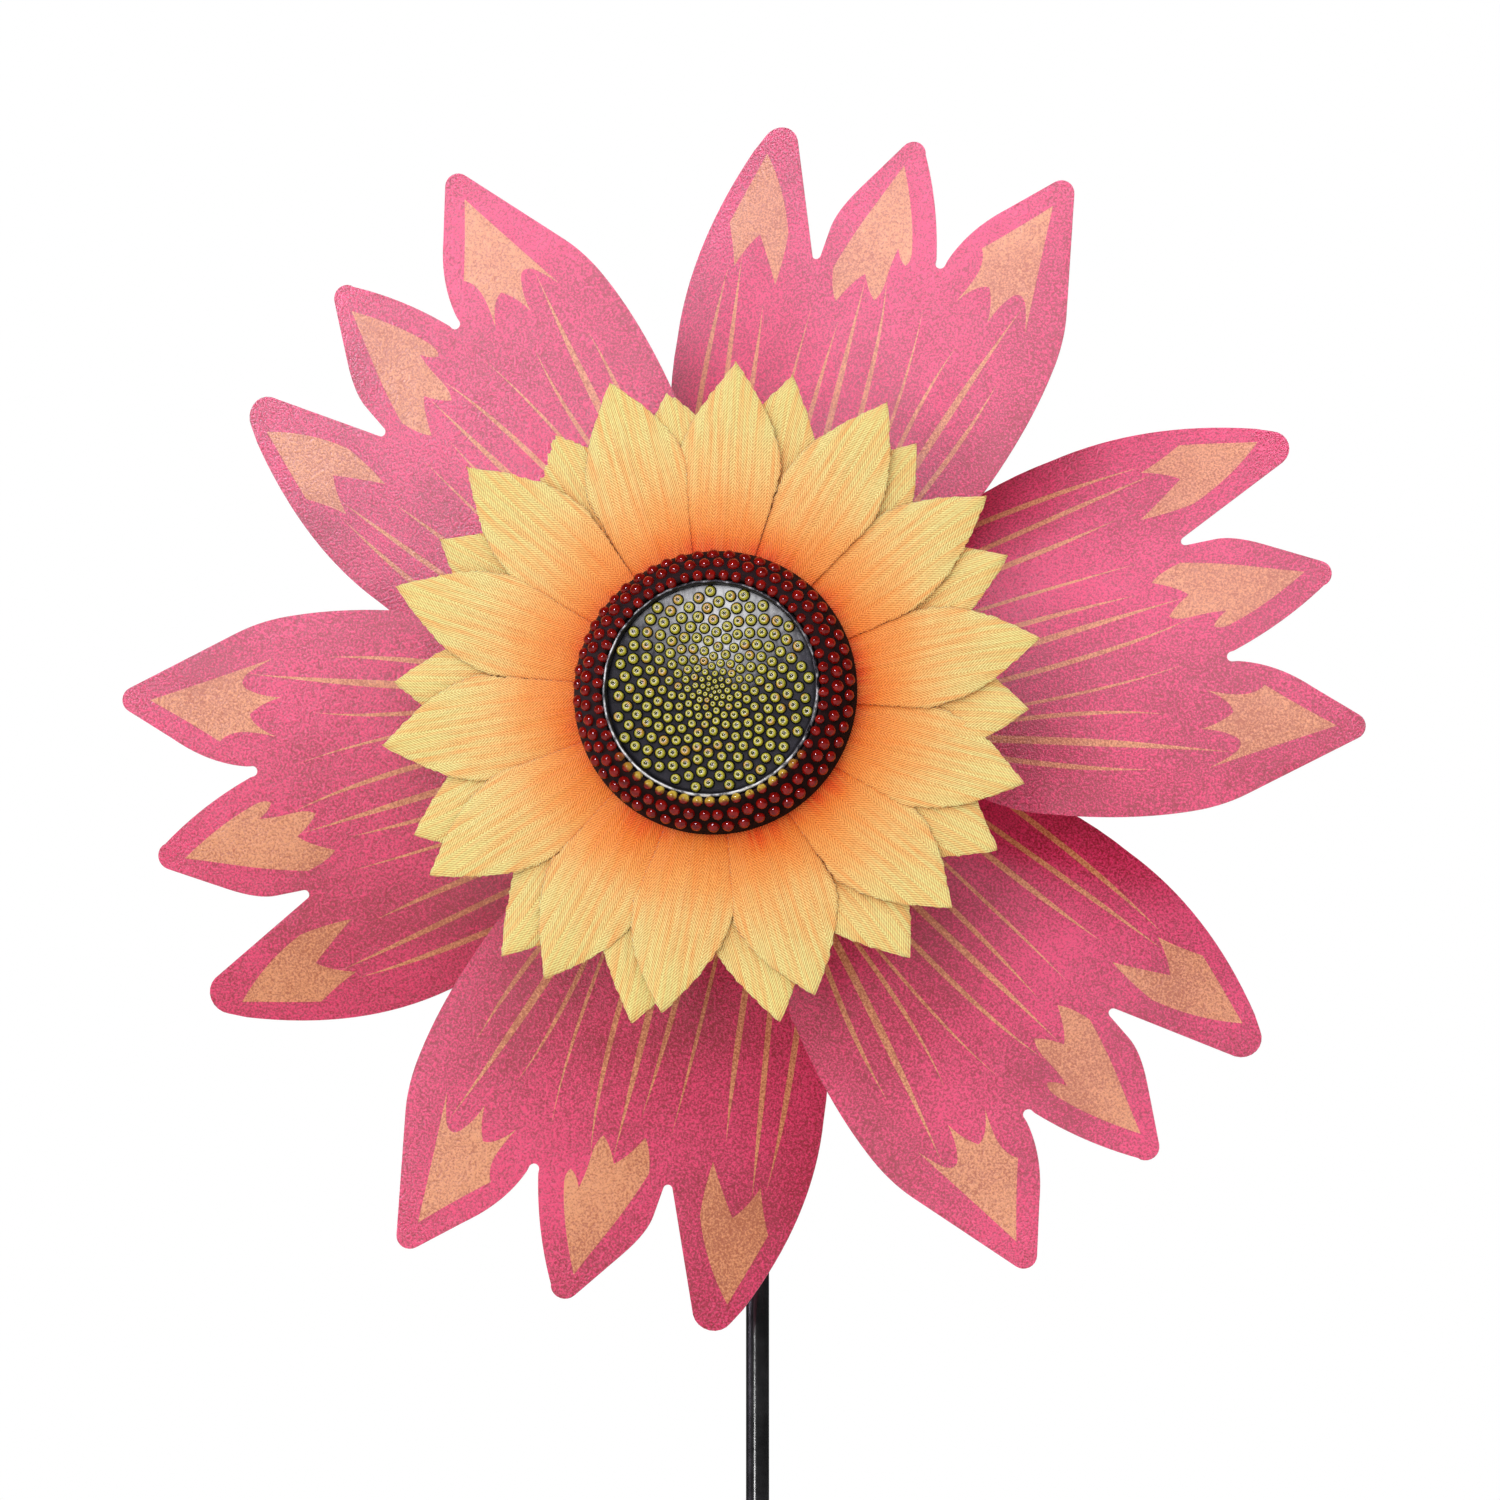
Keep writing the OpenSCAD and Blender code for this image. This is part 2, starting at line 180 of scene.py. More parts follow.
# ---- Materials ----
class Nodes:
    """A short way to write a node tree."""

    def __init__(self, name):
        self.mat = bpy.data.materials.new(name)
        self.mat.use_nodes = True
        self.tree = self.mat.node_tree
        self.shader = self.tree.nodes["Principled BSDF"]

    def node(self, kind, links=None, **values):
        """A new node with its settings, and its inputs linked or set."""
        n = self.tree.nodes.new(kind)
        for k, v in values.items():
            setattr(n, k, v)
        for socket, source in (links or {}).items():
            self.put(n.inputs[socket], source)
        return n

    def put(self, socket, source):
        """Links another node's output to the socket, or sets the socket's own value."""
        if isinstance(source, bpy.types.NodeSocket):
            self.tree.links.new(source, socket)
        else:
            socket.default_value = source

    def math(self, operation, a, b=None, c=None, clamp=False):
        """The result of one Math node."""
        links = {i: v for i, v in enumerate((a, b, c)) if v is not None}
        return self.node("ShaderNodeMath", links, operation=operation, use_clamp=clamp).outputs[0]

    def ramp(self, fac, *stops):
        """A colour ramp through stops of (position, colour)."""
        n = self.node("ShaderNodeValToRGB", {0: fac})
        points = n.color_ramp.elements
        while len(points) < len(stops):
            points.new(0.5)
        for point, (at, colour) in zip(points, stops):
            point.position = at
            point.color = (*colour, 1)
        return n.outputs[0]

    def mix(self, fac, a, b, blend="MIX"):
        """Colour a with b mixed over it by fac."""
        n = self.node("ShaderNodeMix", data_type="RGBA", blend_type=blend)
        for i, source in ((0, fac), (6, a), (7, b)):
            self.put(n.inputs[i], (*source, 1) if isinstance(source, tuple) else source)
        return n.outputs[2]

    def place(self):
        """The place on the object, in metres."""
        return self.node("ShaderNodeTexCoord").outputs["Object"]

    def stretch(self, vector, scales):
        """The place, scaled along each axis."""
        return self.node("ShaderNodeVectorMath", {0: vector, 1: scales}, operation="MULTIPLY").outputs[0]

    def from_hub(self):
        """The place seen from the wheel's centre."""
        links = {0: self.place(), 1: tuple(HUB)}
        return self.node("ShaderNodeVectorMath", links, operation="SUBTRACT").outputs[0]

    def radius(self, centre):
        """Distance from the axle's line."""
        flat = self.stretch(centre, (1, 0, 1))
        return self.node("ShaderNodeVectorMath", {0: flat}, operation="LENGTH").outputs["Value"]

    def noise(self, scale, detail=2.0, roughness=0.5, vector=None):
        """Fractal noise; scale is in waves to the metre, unless vector is already scaled."""
        links = {"Vector": vector or self.place(), "Scale": scale}
        links.update({"Detail": detail, "Roughness": roughness})
        return self.node("ShaderNodeTexNoise", links).outputs[0]

    def bump(self, height, distance, strength=1.0):
        """A normal that follows the height; distance is in metres."""
        links = {"Height": height, "Distance": distance, "Strength": strength}
        return self.node("ShaderNodeBump", links).outputs[0]

    def set(self, **values):
        """Sets the shader's inputs, named with _ for each space, and gives the material."""
        for k, v in values.items():
            self.put(self.shader.inputs[k.replace("_", " ")], (*v, 1) if isinstance(v, tuple) else v)
        return self.mat


def srgb(r, g, b):
    """Linear colour of an 8-bit display colour."""
    shares = [c / 255 for c in (r, g, b)]
    return tuple(c / 12.92 if c <= 0.04 else ((c + 0.055) / 1.055) ** 2.4 for c in shares)


def sand_paint(name, dark, light):
    """Textured paint: a fine sandy grain in height and in shade."""
    m = Nodes(name)
    grain = m.noise(1500, 3, 0.66)
    patch = m.noise(28, 3)
    shade = m.math("ADD", m.math("MULTIPLY", grain, 0.75), m.math("MULTIPLY", patch, 0.25))
    colour = m.ramp(shade, (0.42, dark), (0.58, light))
    rough = m.math("MULTIPLY_ADD", grain, 0.2, 0.27)
    normal = m.bump(grain, 0.0004, 1.0)
    return m.set(Base_Color=colour, Roughness=rough, Normal=normal, Specular_IOR_Level=0.62)


def cloth_dye(m):
    """Orange in the flower's middle to yellow at the petals' tips."""
    wander = m.math("MULTIPLY_ADD", m.noise(60, 2), 0.014, -0.007)
    reach = m.math("DIVIDE", m.math("ADD", m.radius(m.from_hub()), wander), 0.1)
    return m.ramp(
        reach,
        (0.41, srgb(255, 90, 28)),
        (0.47, srgb(255, 138, 52)),
        (0.56, srgb(253, 174, 90)),
        (0.66, srgb(249, 204, 124)),
        (0.80, srgb(242, 222, 141)),
        (0.98, srgb(240, 225, 139)),
    )


def herringbone(m, uv):
    """Height of the threads: slanting warp that turns from band to band, crossed by weft."""
    parts = m.node("ShaderNodeSeparateXYZ", {0: uv})
    across, along = parts.outputs[0], parts.outputs[1]
    side = m.math("PINGPONG", across, WEAVE_BAND)
    slope = m.math("ADD", along, m.math("MULTIPLY", side, 1.3))
    warp = m.math("SINE", m.math("MULTIPLY", slope, 2 * math.pi / WEAVE_PITCH))
    weft = m.math("SINE", m.math("MULTIPLY", across, 2 * math.pi / (0.8 * WEAVE_PITCH)))
    return m.math("MULTIPLY_ADD", weft, 0.4, warp)


def cloth_material(name):
    """Dyed woven cloth with lighter and darker threads and lengthwise streaks of dye."""
    m = Nodes(name)
    uv = m.node("ShaderNodeUVMap", uv_map="petal").outputs[0]
    weave = herringbone(m, uv)
    fuzz = m.math("ADD", m.noise(1100, 2), -0.5)
    light = m.math("MULTIPLY_ADD", weave, 0.34, m.math("MULTIPLY_ADD", fuzz, 0.5, 0.54))
    threads = m.mix(light, (0.70, 0.50, 0.38), (1.16, 1.25, 1.36))
    lengthwise = m.stretch(uv, (1.0, 0.06, 1.0))
    streak = m.ramp(m.noise(520, 3, 0.6, lengthwise), (0.44, (0.0,) * 3), (0.72, (1.0,) * 3))
    streaked = m.mix(m.math("MULTIPLY", streak, 0.7), cloth_dye(m), srgb(255, 150, 66))
    colour = m.mix(1.0, streaked, threads, "MULTIPLY")
    normal = m.bump(weave, 0.00012, 0.8)
    return m.set(
        Base_Color=colour,
        Roughness=0.85,
        Normal=normal,
        Sheen_Weight=0.15,
        Sheen_Roughness=0.5,
        Specular_IOR_Level=0.15,
    )


def gloss_black(name, rough=0.16):
    """Black powder coat or moulded plastic: a slight orange peel and faint scuffs."""
    m = Nodes(name)
    peel = m.noise(420, 2)
    scuff = m.noise(70, 6, 0.7)
    colour = m.ramp(scuff, (0.45, (0.0055, 0.0055, 0.006)), (0.85, (0.02, 0.02, 0.021)))
    shine = m.math("MULTIPLY_ADD", scuff, 0.22, rough - 0.08)
    normal = m.bump(peel, 0.00006, 0.5)
    return m.set(Base_Color=colour, Roughness=shine, Normal=normal, Specular_IOR_Level=0.6)


def brushed(name, low, high, metal=1.0):
    """Plated steel with fine lines and stains."""
    m = Nodes(name)
    lines = m.noise(1.0, 3, 0.6, m.stretch(m.place(), (900, 80, 900)))
    stain = m.noise(140, 4, 0.6)
    colour = m.mix(m.math("MULTIPLY", stain, 0.5), m.ramp(lines, (0.3, low), (0.7, high)), low)
    rough = m.math("MULTIPLY_ADD", lines, 0.2, 0.24)
    return m.set(Base_Color=colour, Roughness=rough, Metallic=metal, Normal=m.bump(lines, 0.00003, 0.5))


def matt(name, low, high, scale=500, rough=0.6, shine=0.5):
    """A plain coat or moulding with a fine grain."""
    m = Nodes(name)
    grain = m.noise(scale, 3, 0.6)
    return m.set(
        Base_Color=m.ramp(grain, (0.3, low), (0.72, high)),
        Roughness=m.math("MULTIPLY_ADD", grain, 0.2, rough - 0.1),
        Normal=m.bump(grain, 0.0001, 0.5),
        Specular_IOR_Level=shine,
    )


def berry_material(name, low, high, tint):
    """Lacquered beads; those beside the dish's lower edge have caught some of its paint."""
    m = Nodes(name)
    patch = m.noise(700, 3)
    red = m.ramp(patch, (0.3, low), (0.75, high))
    centre = m.from_hub()
    parts = m.node("ShaderNodeSeparateXYZ", {0: centre})
    within = m.math("SUBTRACT", (dish_radius + 3.4) * MM, m.radius(centre))
    edge = m.math("MULTIPLY", within, 900, clamp=True)
    low_side = m.math("MULTIPLY", m.math("SUBTRACT", -0.018, parts.outputs[2]), 120, clamp=True)
    patches = m.ramp(patch, (0.35, (0.2,) * 3), (0.5, (1,) * 3))
    caught = m.math("MULTIPLY", m.math("MULTIPLY", edge, low_side), patches)
    return m.set(Base_Color=m.mix(caught, red, tint), Roughness=0.1, Specular_IOR_Level=0.3)


def dish_material(name):
    """Near-black moulding with silver-grey streaks, brightened in a wedge that opens upwards from its
    middle: a painted highlight that stands for the top light's reflection.
    """
    m = Nodes(name)
    centre = m.from_hub()
    parts = m.node("ShaderNodeSeparateXYZ", {0: centre})
    side, up = parts.outputs[0], parts.outputs[2]
    # Painted highlight: a wedge above the middle, brightest straight up, stands for the top light's
    # reflection on the dish.
    turn = m.math("ABSOLUTE", m.math("ADD", m.math("ARCTAN2", side, m.math("ADD", up, 0.004)), -0.12))
    highlight_fan = m.math("POWER", m.math("SUBTRACT", 1.0, m.math("DIVIDE", turn, 1.7), clamp=True), 1.6)
    strokes = m.noise(420, 4, 0.7)
    streaks = m.noise(1.0, 3, 0.6, m.stretch(centre, (700, 700, 140)))
    rub = m.math("MULTIPLY_ADD", strokes, 0.9, m.math("MULTIPLY", streaks, 0.6))
    away = m.math("MULTIPLY", m.math("SUBTRACT", m.radius(centre), 0.003), 160, clamp=True)
    # Where the silver-grey streaks and the painted highlight show; the ramp below turns this into
    # colour.
    silver = m.math("ADD", m.math("MULTIPLY", highlight_fan, away), 0.1)
    colour = m.ramp(
        m.math("MULTIPLY", silver, rub),
        (0.0, srgb(12, 11, 14)),
        (0.25, srgb(60, 59, 66)),
        (0.80, srgb(222, 222, 226)),
    )
    normal = m.bump(strokes, 0.00012, 0.6)
    return m.set(Base_Color=colour, Roughness=0.6, Normal=normal, Specular_IOR_Level=0.12)


def button_material(name, low, high, ochre):
    """Enamelled buttons: here and there one of them has turned ochre."""
    m = Nodes(name)
    grain = m.noise(900, 3, 0.6)
    turned_ochre = m.ramp(m.noise(300, 0), (0.62, (0.0,) * 3), (0.70, (0.6,) * 3))
    colour = m.mix(turned_ochre, m.ramp(grain, (0.3, low), (0.72, high)), ochre)
    rough = m.math("MULTIPLY_ADD", grain, 0.2, 0.2)
    normal = m.bump(grain, 0.0001, 0.5)
    return m.set(Base_Color=colour, Roughness=rough, Normal=normal, Specular_IOR_Level=0.3)


def rim_material(name):
    """Silver-white in patches on the ridge's crest, thick at the bottom and hardly at all at the top;
    the bright line kept to the crest is a painted highlight.
    """
    m = Nodes(name)
    centre = m.from_hub()
    parts = m.node("ShaderNodeSeparateXYZ", {0: centre})
    height = m.math("MULTIPLY_ADD", parts.outputs[2], 2.0, parts.outputs[0])
    low = m.math("MULTIPLY_ADD", height, -7.0, 0.5)
    # Painted highlight: the colour is bright only in a thin line along the crest.
    off_crest = m.math("ABSOLUTE", m.math("SUBTRACT", m.radius(centre), rim_crest * MM))
    crest = m.math("SUBTRACT", 1.0, m.math("MULTIPLY", off_crest, 1900), clamp=True)
    patch = m.noise(330, 4, 0.65)
    silver_and_highlight = m.math("ADD", m.math("MULTIPLY", low, 0.5), m.math("MULTIPLY_ADD", patch, 3.0, -1.35))
    colour = m.ramp(
        m.math("MULTIPLY", silver_and_highlight, crest),
        (0.05, srgb(20, 19, 22)),
        (0.3, srgb(130, 130, 134)),
        (0.6, srgb(244, 244, 246)),
    )
    normal = m.bump(patch, 0.0002, 0.6)
    return m.set(Base_Color=colour, Roughness=0.5, Normal=normal, Specular_IOR_Level=0.2)


paint = sand_paint("blade paint", srgb(152, 4, 40), srgb(230, 46, 104))
print_paint = sand_paint("peach print", srgb(176, 90, 48), srgb(226, 150, 98))
back_paint = sand_paint("blade back paint", srgb(176, 30, 64), srgb(212, 52, 94))
cloth = cloth_material("petal cloth")
black = gloss_black("gloss black coat")
black_plastic = gloss_black("black moulding", 0.3)
steel = brushed("zinc plate", (0.42, 0.43, 0.45), (0.72, 0.73, 0.75))
plate_paint = matt("red plate paint", srgb(120, 20, 40), srgb(160, 34, 60))
hub_black = matt("hub moulding", (0.012, 0.012, 0.014), (0.035, 0.035, 0.038))
nylon = matt("nylon", (0.60, 0.56, 0.46), (0.78, 0.74, 0.64), 300, 0.5)
green = matt("calyx green", (0.04, 0.11, 0.02), (0.09, 0.20, 0.05))
# Near-black brown: the ring's own dark colour, made darker still as painted shade in the gaps between
# the berries.
brown_and_gap_shade = matt("seed brown", (0.004, 0.0015, 0.001), (0.018, 0.004, 0.003), 500, 0.7, 0.05)
berry = berry_material("berry lacquer", srgb(84, 5, 3), srgb(152, 16, 8), srgb(196, 166, 60))
button = button_material("button paint", srgb(138, 132, 16), srgb(200, 190, 56), srgb(186, 122, 40))
button_top = matt("button top", srgb(44, 48, 4), srgb(84, 86, 14), 900, 0.15, 0.5)
# Painted shade: near-black for the skirt at each button's foot, standing for the shade round the
# buttons.
foot_shade = matt("groove black", (0.003, 0.003, 0.003), (0.008, 0.007, 0.007), 500, 0.7, 0.05)
# Near-black dish with silver-grey streaks and a painted highlight above its middle.
dish_paint_and_highlight = dish_material("dish")
# Silver patches and a painted highlight along the ridge's crest.
rim_silver_and_highlight = rim_material("rim silver")


# ---- CAD nodes that keep their shape ----
def dress(material, *nodes):
    """Gives CAD nodes a material in the slots they have."""
    for name in nodes:
        for s in frame["nodes"][name].material_slots:
            s.link = "OBJECT"
            s.material = material


dress(black, "pole_tip", "lower_tube", "middle_tube", "upper_tube")
dress(black, "lower_connector", "upper_connector")
dress(black_plastic, "head_housing", "rear_spacer", "flower_carrier")
dress(steel, "axle_bolt", "clamp_nut", "rear_washer", "front_washer", "lock_nut")
dress(steel, "blade_screws", "blade_nuts", "carrier_screws", "flower_screw")
dress(plate_paint, "blade_plate")
dress(hub_black, "hub_barrel")
dress(nylon, "rear_bush", "front_bush")
dress(green, "calyx")
dress(brown_and_gap_shade, "seed_base")


# ---- Blades ----
def blade_outline():
    """The blade from the front: x towards the clockwise edge, y outwards from the hub."""
    return chain(
        bend((-12, BLADE_ROOT), (-51, 60), (-57.6, 108), 16),
        bend((-57.6, 108), (-63.2, 137), (-51.8, 170), 16),
        arc((-43.9, 173), 6, 160, 30),
        arc((-21.1, 142.4), 1.4, 195, 355, 6),
        bend((-19.4, 151), (-19.3, 156.5), (-14.2, 165), 8),
        arc((-0.9, 179), 4.1, 148, 28),
        bend((3, 180), (11.7, 166), (16.3, 149.5), 12),
        arc((17.95, 148.6), 1.6, 195, 340, 6),
        bend((19.8, 150), (23.2, 161), (33, 170), 12),
        arc((47.3, 178.7), 4, 135, 12),
        bend((59.9, 143.5), (61.9, 135), (60.9, 125), 8),
        bend((60.9, 125), (59.2, 105), (50.3, 80), 12),
        bend((50.3, 80), (43, 62), (12, BLADE_ROOT), 16),
    )


def emblems():
    """The large printed shape on each lobe."""
    left = chain(
        bend((-47.2, 170), (-37.5, 160), (-32.2, 147)),
        bend((-32.2, 147), (-31, 139), (-31.2, 130.5)),
        bend((-31.2, 130.5), (-35, 136.5), (-41.2, 144.8)),
        bend((-41.2, 144.8), (-44.3, 141), (-46.4, 133.5)),
        bend((-46.4, 133.5), (-48.2, 139), (-52.4, 146.5)),
        bend((-52.4, 146.5), (-50.5, 156), (-48.3, 165)),
    )
    middle = chain(
        bend((-2.5, 175.2), (5.5, 161), (8.3, 149.5)),
        bend((8.3, 149.5), (8.8, 146.5), (7.5, 145.3), 4),
        bend((7.5, 145.3), (5.2, 146.5), (3.7, 150), 5),
        bend((3.7, 150), (2.8, 145), (3, 140), 5),
        bend((3, 140), (3.2, 135), (1.3, 132.8), 5),
        bend((1.3, 132.8), (-1.5, 135), (-4, 140), 5),
        bend((-4, 140), (-7, 137.5), (-10.5, 129.8), 6),
        bend((-10.5, 129.8), (-13, 132.5), (-14.6, 139.5), 6),
        bend((-14.6, 139.5), (-12, 150), (-8.2, 160)),
        bend((-8.2, 160), (-5.5, 167), (-2.5, 175.2)),
    )
    right = chain(
        bend((46.1, 174.3), (47.6, 155), (49.6, 134.5)),
        bend((49.6, 134.5), (48, 141), (46.8, 143.5), 5),
        bend((46.8, 143.5), (44.1, 147.5), (41.3, 143), 6),
        bend((41.3, 143), (39, 140), (37.5, 134.8), 5),
        bend((37.5, 134.8), (37.3, 141), (34.8, 145.3), 5),
        bend((34.8, 145.3), (31, 145.5), (26.3, 138.8), 6),
        bend((26.3, 138.8), (29.8, 146), (30.3, 150), 6),
        bend((30.3, 150), (30.6, 154), (28.9, 156.2), 5),
        bend((28.9, 156.2), (36, 163), (46.1, 174.3)),
    )
    return [left, middle, right]


# The printed veins: tip, the point that pulls the stroke sideways, root, and width
VEINS = [
    ((-48.2, 134), (-47.5, 108), (-39, 62), 1.7),
    ((-45.0, 138), (-41.0, 116), (-29, 58), 1.6),
    ((-33.2, 124), (-28.5, 102), (-22, 54), 1.8),
    ((-17.5, 127), (-16.8, 100), (-13, 50), 1.1),
    ((-7.7, 125), (-8.2, 100), (-5.5, 50), 1.6),
    ((-3.4, 139), (-1.8, 108), (2.2, 50), 2.0),
    ((3.1, 140), (9.5, 115), (8.5, 50), 1.6),
    ((16.8, 135), (20.3, 108), (15, 50), 1.0),
    ((30.8, 126), (22.5, 104), (18.5, 52), 1.4),
    ((46.8, 143), (34, 106), (21, 56), 2.3),
    ((46.0, 118), (41.5, 96), (26, 60), 1.6),
]


def vein(tip, pull, root, width):
    """A long tapered stroke round its centre line."""
    line = bend(tip, pull, root, 18)
    left, right = [], []
    for i, p in enumerate(line):
        a, b = line[max(i - 1, 0)], line[min(i + 1, len(line) - 1)]
        length = math.dist(a, b)
        half = width / 2 * smooth_step(-0.05, 0.55, i / (len(line) - 1))
        side = ((b[1] - a[1]) / length * half, -(b[0] - a[0]) / length * half)
        left.append((p[0] + side[0], p[1] + side[1]))
        right.append((p[0] - side[0], p[1] - side[1]))
    return chain(left, right[::-1])


def surface_y(x, lift):
    """How far behind the root plane a rolled, pitched blade is at x; lift 0 is its back face."""
    centre_x = BLADE_BEND_R * math.sin(BLADE_PITCH)
    centre_y = BLADE_BEND_R * math.cos(BLADE_PITCH)
    return centre_y - math.sqrt((BLADE_BEND_R + lift) ** 2 - (x - centre_x) ** 2)


def blade_points(loops, outline):
    """The curves' points with a grid of points between them, and the edges that the mesh has to keep."""
    points, edges = [], []
    for loop in loops:
        first = len(points)
        points += loop
        edges += [(first + i, first + (i + 1) % len(loop)) for i in range(len(loop))]
    fixed = list(points)
    for row in range(int(BLADE_REACH / GRID) + 2):
        for column in range(-GRID_COLUMNS, GRID_COLUMNS + 1):
            p = (column * GRID + (row % 2) * GRID / 2, BLADE_ROOT + row * GRID * GRID_ROW)
            if inside(p, outline) and min(math.dist(p, q) for q in fixed) > GRID_CLEAR:
                points.append(p)
    return points, edges


def blade_layout():
    """The flat mesh of a blade: points, faces, which faces are printed, and the outline's edges."""
    outline = blade_outline()
    prints = emblems() + [vein(*v) for v in VEINS]
    points, edges = blade_points([outline] + prints, outline)
    made = delaunay_2d_cdt([Vector(p) for p in points], edges, [], 0, 1e-4)
    flat = [(v.x, v.y) for v in made[0]]
    faces, printed = [], []
    for face in made[2]:
        c = [sum(flat[i][k] for i in face) / len(face) for k in (0, 1)]
        if inside(c, outline):
            faces.append(tuple(face))
            printed.append(any(inside(c, loop) for loop in prints))
    uses = {}
    for face in faces:
        for a, b in zip(face, face[1:] + face[:1]):
            uses.setdefault((min(a, b), max(a, b)), []).append((a, b))
    rim = [pairs[0] for pairs in uses.values() if len(pairs) == 1]
    return flat, faces, printed, rim


def make_blades():
    """Six blades from one flat mesh: a printed front, a plain back and a cut edge all round."""
    flat, faces, printed, rim = blade_layout()
    count = len(flat)
    for i in range(BLADES):
        turn = Matrix.Rotation(math.radians(FIRST_BLADE_TURN + i * 360 / BLADES), 3, "Y")
        verts = []
        for lift in (BLADE_T, 0):
            for x, z in flat:
                p = turn @ Vector((x, surface_y(x, lift), z))
                verts.append(mm(p.x, blade_plane - p.y, p.z))
        back = [tuple(v + count for v in reversed(f)) for f in faces]
        sides = [(b, a, a + count, b + count) for a, b in rim]
        indices = [1 if p else 0 for p in printed] + [2] * len(back) + [0] * len(sides)
        paints = [paint, print_paint, back_paint]
        ob = new_piece(f"blade_{i + 1}_sheet", verts, faces + back + sides, paints, indices)
        sharp_rim(ob)
        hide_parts(f"blade_{i + 1}")


SHARP_CORNER = 0.8  # radians


def sharp_rim(ob):
    """Marks the corners of the sheet's cut edge, so that they don't shade into its faces."""
    bm = bmesh.new()
    bm.from_mesh(ob.data)
    bmesh.ops.recalc_face_normals(bm, faces=bm.faces)
    for e in bm.edges:
        if len(e.link_faces) == 2 and e.calc_face_angle(0) > SHARP_CORNER:
            e.smooth = False
    bm.to_mesh(ob.data)
    bm.free()


make_blades()


# ---- Petals ----
FIRST_PETAL = 5.3
# How far each petal has been pushed round by hand, clockwise, in degrees, and how far out its tip is
FRONT_PUSH = [-1, 0.5, -2.5, -1.5, -0.5, -1.5, 1.5, 3, 0, 1.5, 0.5, 1, -1, 1.5]
FRONT_TIPS = [100, 101, 100, 98.5, 96.5, 96, 94.5, 95.5, 97.5, 99.5, 100, 101.5, 102, 99.5]
BACK_PUSH = [-3.5, -5, -5, -2.5, -2.5, -3, -3.5, -3.5, -4.5, -4, -1.5, -1, 0.5, 0]
BACK_TIPS = [98.5, 96, 96.5, 94, 96.5, 98, 99, 100, 99.5, 98.5, 96.5, 96, 95.5, 93]
TORN = {12: (-7, 84), 13: (5, 86)}  # back petals with a corner gone: where, and how far out


def half_width(t, breadth=1.0):
    """Half a petal's width, t from root to tip: cut along radii at first, then leaf-shaped."""
    slit = (PETAL_ROOT + (PETAL_TIP - PETAL_ROOT) * t) * math.tan(math.pi / PETALS) * PETAL_LAP
    body = 0.42 + 0.58 * math.sin(math.pi * t ** 1.25)
    return min(slit, breadth * PETAL_HALF_W * body * max(1 - t ** 6, 0) ** 0.8)


def petal_surface(t, side, half, crumple, seed):
    """How far forward of its plane a petal is: soft veins, a raised clockwise edge, a little crumple."""
    veins = 0.0
    for k in range(-3, 4):
        line = k / 3.7 * (0.6 + 0.4 * t)
        veins += math.exp(-(((side - line) * half / 0.6) ** 2)) * (0.42 if k else 0.6)
    veins *= smooth_step(0.02, 0.25, t) * (1 - smooth_step(0.75, 0.98, t))
    wave = crumple * 0.5 * math.sin(5.5 * t + seed) + 0.4 * math.sin(8 * t + 2.2 * side + 2 * seed)
    curl = 0.42 * side * (1 - 0.3 * t) - 1.2 * side * side * (0.3 + t)
    return veins + wave * smooth_step(0.25, 0.8, t) + curl


def tear(x, torn):
    """How far out a torn petal still reaches at x."""
    return torn[1] + 0.9 * abs(x - torn[0]) + 0.5 * math.sin(2.1 * x) + 0.3 * math.sin(5.3 * x)


def petal(rng, turn, push, tip, plane, torn):
    """One petal as a grid: points, faces and flat places for the weave."""
    rows, columns = 72, 34
    crumple, seed = rng.uniform(-1, 1), rng.uniform(0, 6)
    lean, lift = rng.uniform(-1.6, 1.6), rng.uniform(-1.0, 1.2)
    breadth = rng.uniform(0.89, 1.02)
    fray = [rng.uniform(-1, 1) for _ in range(2 * rows + 2)]
    verts, uvs = [], []
    for i in range(rows + 1):
        t = (i / rows) ** 0.9
        r = PETAL_ROOT + (tip - PETAL_ROOT) * t
        half = half_width(t, breadth)
        a = math.radians(turn + push * smooth_step(0.15, 0.85, t))
        for j in range(columns + 1):
            side = 2 * j / columns - 1
            across = side * half
            if j in (0, columns):
                loose = FRAY * fray[i + (rows if j else 0)] * min(half, 1)
                across += side * loose * smooth_step(0.2, 0.5, t)
            drop = lift * t * t * 1.2 - PETAL_FALL * smooth_step(0.1, 1.1, t)
            forward = plane + drop + petal_surface(t, side, half, crumple, seed)
            x = across + lean * t ** 3
            out = min(r, tear(x, torn)) if torn else r
            right = x * math.cos(a) + out * math.sin(a) + PETAL_SLIP[0]
            up = out * math.cos(a) - x * math.sin(a) + PETAL_SLIP[1]
            verts.append(mm(right, forward, up))
            uvs.append(((across + 40) * MM, out * MM))
    width = columns + 1
    faces = [
        (i * width + j, i * width + j + 1, (i + 1) * width + j + 1, (i + 1) * width + j)
        for i in range(rows)
        for j in range(columns)
    ]
    return verts, faces, uvs


def petal_layer(name, node, plane, first, pushes, tips, torn, seed):
    """One sheet of cloth: a star of even petals, each pushed about at its tip."""
    rng = random.Random(seed)
    verts, faces, uvs = [], [], []
    for i, (push, tip) in enumerate(zip(pushes, tips)):
        v, f, u = petal(rng, first + 360 * i / PETALS, push, tip, plane, torn.get(i))
        faces += [tuple(k + len(verts) for k in face) for face in f]
        verts += v
        uvs += u
    ob = new_piece(name, verts, faces, [cloth])
    layer = ob.data.uv_layers.new(name="petal")
    for loop in ob.data.loops:
        layer.data[loop.index].uv = uvs[loop.vertex_index]
    thick = ob.modifiers.new("thickness", "SOLIDIFY")
    thick.thickness = CLOTH_T * MM
    thick.offset = -1
    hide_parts(node)
    return ob


